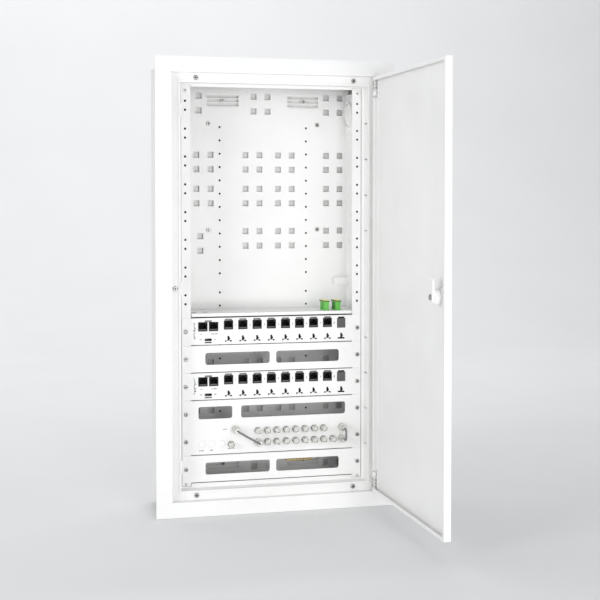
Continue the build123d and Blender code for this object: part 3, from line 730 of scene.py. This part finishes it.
def makeSpareBlanks():
    # Ribbed grey filler in the spare opening at the right end of each data panel.
    low, high = network["blankSize"][0] / 2, network["blankSize"][1] / 2
    blank = bmesh.new()
    roundBox(blank, (-low, 1.0 * mm, -high), (low, 3.0 * mm, high), 0.3 * mm)
    ribs = network["blankRibs"]
    for i in range(ribs):
        x = -low + (i + 1) * 2 * low / (ribs + 1)
        roundBox(blank, (x - 0.3 * mm, 0.7 * mm, -high + 1 * mm), (x + 0.3 * mm, 1.2 * mm, high - 1 * mm))
    places = []
    for level in ("upper", "lower"):
        last = portPlaces(level)[-1]
        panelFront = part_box("data_panel_" + level)[0].y
        places.append((last.x + network["portPitch"], panelFront, last.z - network["blankDrop"]))
    repeated("spareBlanks", meshObject("blank", blank, False), places, blankGrey)


# Panel print: generic strokes for captions, plain numbers for ports

printing = {
    # Left end, foot below the panel's top edge, and width of each caption, in millimetres.
    "dataCaptions": ((-119.7, -26.4, 3.0), (-101.8, -26.4, 9.6), (-120.6, -35.4, 3.6), (-97.6, -35.4, 3.6)),
    "coaxCaptions": (
        (-83.0, -48.6, 5.4), (-74.6, -80.2, 9.4), (-122.4, -81.6, 8.0), (-104.4, -81.6, 4.4),
    ),
    "uprightCaption": (-131.2, -7.5, 26),
    "strokeWidth": (0.5, 1.1),
    "strokeHeight": (1.0, 1.9),
    "strokeGap": 0.5,
    "uprightTall": (1.0, 2.6),
    "uprightWidth": (1.6, 3.2),
    "uprightShift": (0, 1.4),
    "uprightGap": (0.3, 0.9),
    "thickness": 0.05 * mm,
    "numberHeight": 4.6 * mm,
    "numberOffset": 11.9 * mm,
    "numberDrop": 0.6 * mm,
    "seed": 7,
}


def flatText(words, size):
    writing = bpy.data.curves.new("writing", "FONT")
    writing.body = words
    writing.size = size
    writing.align_x = "CENTER"
    writing.align_y = "CENTER"
    writing.extrude = 0.03 * mm
    writing.resolution_u = 2
    holder = bpy.data.objects.new("writing", writing)
    scene.collection.objects.link(holder)
    bpy.context.view_layer.update()
    mesh = bpy.data.meshes.new_from_object(holder.evaluated_get(bpy.context.evaluated_depsgraph_get()))
    bpy.data.objects.remove(holder)
    return mesh


def addPrint(target, mesh, place):
    # Stands the flat writing upright on the panel's front.
    mesh.transform(Matrix.Translation(place) @ Matrix.Rotation(math.radians(90), 4, "X"))
    target.from_mesh(mesh)
    bpy.data.meshes.remove(mesh)


def strokes(draw, left, low, width):
    # Short strokes in a row, which stand for a caption.
    marks = []
    x = left
    while x < left + width:
        wide = draw.uniform(*printing["strokeWidth"])
        marks.append((x, low, wide, draw.uniform(*printing["strokeHeight"])))
        x += wide + printing["strokeGap"]
    return marks


def uprightStrokes(draw, left, high, length):
    marks = []
    z = 0.0
    while z < length:
        tall = draw.uniform(*printing["uprightTall"])
        x = left + draw.uniform(*printing["uprightShift"])
        marks.append((x, high - z - tall, draw.uniform(*printing["uprightWidth"]), tall * 0.7))
        z += tall + draw.uniform(*printing["uprightGap"])
    return marks


def addMarks(target, marks, face, top):
    for x, z, wide, high in marks:
        low = Vector((x * mm, face, top + z * mm))
        roundBox(target, low, low + Vector((wide * mm, printing["thickness"], high * mm)))


def makePrint():
    draw = random.Random(printing["seed"])
    target = bmesh.new()
    for level in ("upper", "lower"):
        low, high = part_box("data_panel_" + level)
        face = low.y - 0.03 * mm
        marks = uprightStrokes(draw, *printing["uprightCaption"])
        for left, base, width in printing["dataCaptions"]:
            marks += strokes(draw, left, base, width)
        addMarks(target, marks, face, high.z)
        for number, port in enumerate(portPlaces(level)[2:], 1):
            place = (port.x + printing["numberOffset"], face, port.z - printing["numberDrop"])
            addPrint(target, flatText(str(number), printing["numberHeight"]), place)
    low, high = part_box("coax_panel")
    marks = []
    for left, base, width in printing["coaxCaptions"]:
        marks += strokes(draw, left, base, width)
    addMarks(target, marks, low.y - 0.03 * mm, high.z)
    printed = meshObject("panelPrint", target, False)
    printed.data.materials.append(inkGrey)
    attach(printed, "cabinet")


makeContacts()
makeLightStrips()
makeSpareBlanks()
makePrint()
print("network sockets made")


# Fibre adapters: ribbed green bodies with a dark rim under the cap

adapter = {
    "ribs": 7,
    "ribWidth": 1.4 * mm,
    "ribProud": 0.5 * mm,
    "ribInset": 0.8 * mm,
    "ribMargin": 3 * mm,
    "ribSpan": (-0.0425, -0.0305),
    "rimProud": 0.5 * mm,
    "rimHeight": 1.3 * mm,
}


def makeAdapterRibs():
    for side in (-1, 1):
        places = []
        for low, high in solidBoxes("fibre_adapters"):
            step = (high.y - low.y - 2 * adapter["ribMargin"]) / (adapter["ribs"] - 1)
            x = low.x + adapter["ribInset"] if side < 0 else high.x - adapter["ribInset"]
            places.append((x, low.y + adapter["ribMargin"], 0))
        rib = bmesh.new()
        half, proud = adapter["ribWidth"] / 2, adapter["ribProud"]
        foot, top = adapter["ribSpan"]
        roundBox(rib, (-proud, -half, foot), (proud, half, top), 0.3 * mm)
        name = "adapterRibsLeft" if side < 0 else "adapterRibsRight"
        ribs = repeated(name, meshObject("rib", rib), places, finishes["green_moulding"],
                        adapter["ribs"], (0, step, 0))


def makeAdapterRims():
    # Dark seal between each adapter's body and its yellow cap.
    low, high = solidBoxes("fibre_adapters")[0]
    middle = (low + high) / 2
    halfX = (high.x - low.x) / 2 + adapter["rimProud"]
    halfY = (high.y - low.y) / 2 + adapter["rimProud"]
    outer = [(-halfX, -halfY), (halfX, -halfY), (halfX, halfY), (-halfX, halfY)]
    inner = [(x * 0.8, y * 0.92) for x, y in outer]
    rim = bmesh.new()
    loops = []
    for points, z in ((outer, 0), (outer, adapter["rimHeight"]), (inner, adapter["rimHeight"]), (inner, 0)):
        loops.append([rim.verts.new((x, y, z)) for x, y in points])
    for a, b in zip(loops, loops[1:] + loops[:1]):
        for i in range(4):
            rim.faces.new((a[i], a[(i + 1) % 4], b[(i + 1) % 4], b[i]))
    bmesh.ops.recalc_face_normals(rim, faces=rim.faces)
    places = []
    for low, high in solidBoxes("fibre_adapters"):
        places.append(((low.x + high.x) / 2, (low.y + high.y) / 2, high.z - adapter["rimHeight"] * 0.3))
    rims = repeated("adapterRims", meshObject("rim", rim, False), places, rimBlack)


makeAdapterRibs()
makeAdapterRims()
print("fibre adapters made")


# Screws: painted shade, a dark cross on the floor of every cross recess

recess = {
    "depth": 1.04 * mm,
    "armShare": 1.22,
    "widthShare": 0.33,
    "thickness": 0.05 * mm,
}


def makeRecesses(node):
    boxes = solidBoxes(node)
    low, high = boxes[0]
    radius = (high.x - low.x) / 2
    arm = radius * recess["armShare"] / 2
    width = radius * recess["widthShare"] / 2
    y = recess["depth"]
    # The dark cross is painted shade where the recess's floor lies in shadow, not a part of the screw.
    cross = bmesh.new()
    roundBox(cross, (-arm, y, -width), (arm, y + recess["thickness"], width))
    roundBox(cross, (-width, y, -arm), (width, y + recess["thickness"], arm))
    words = node.split("_")
    name = words[0] + "".join(word.capitalize() for word in words[1:]) + "Recesses"
    made = repeated(name, meshObject("cross", cross, False), [depthPlace(box) for box in boxes], paintedShadeBlack)


for node in ("frame_screws", "plate_screws", "vent_screws", "panel_screws", "rail_screws"):
    makeRecesses(node)
print("screw recesses made")


# Clinch nuts behind the small holes in the back plate and the rails; their near-black colour is painted shade
# inside the holes

insert = {
    "radius": 3.0 * mm,
    "bore": 1.85 * mm,
    "length": 2.4 * mm,
    "plateX": (-72.45, 76.65),
    "plateFirst": 16.0,
    "plateStep": 22.225,
    "plateRows": 12,
    "railX": 143.5,
    "railFirst": -28.275,
    "railStep": 44.45,
    "railRows": 8,
    "railSecond": 14.3,
    "railLeg": 1.5 * mm,
}


def insertCup():
    # Blind nut, open at the front.
    outer, bore, length = insert["radius"], insert["bore"], insert["length"]
    profile = [(bore, 0), (outer, 0), (outer, length), (0, length), (0, length - 0.3 * mm),
               (bore, length - 0.3 * mm)]
    return meshObject("cup", turned(profile, 20), False)


def makeInserts():
    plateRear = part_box("mounting_plate")[1].y
    places = []
    for x in insert["plateX"]:
        for row in range(insert["plateRows"]):
            z = insert["plateFirst"] + row * insert["plateStep"]
            places += [(x * mm, plateRear, z * mm), (x * mm, plateRear, -z * mm)]
    # Real blind nuts, coloured near-black as painted shade so that the holes read dark.
    repeated("plateInserts", insertCup(), places, paintedShadeBlack)
    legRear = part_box("rail_right")[0].y + insert["railLeg"]
    places = []
    for row in range(insert["railRows"]):
        for step in (0, insert["railSecond"]):
            z = insert["railFirst"] + row * insert["railStep"] + step
            places += [(side * insert["railX"] * mm, legRear, z * mm) for side in (-1, 1)]
    repeated("railInserts", insertCup(), places, paintedShadeBlack)


makeInserts()
print("clinch nuts made")
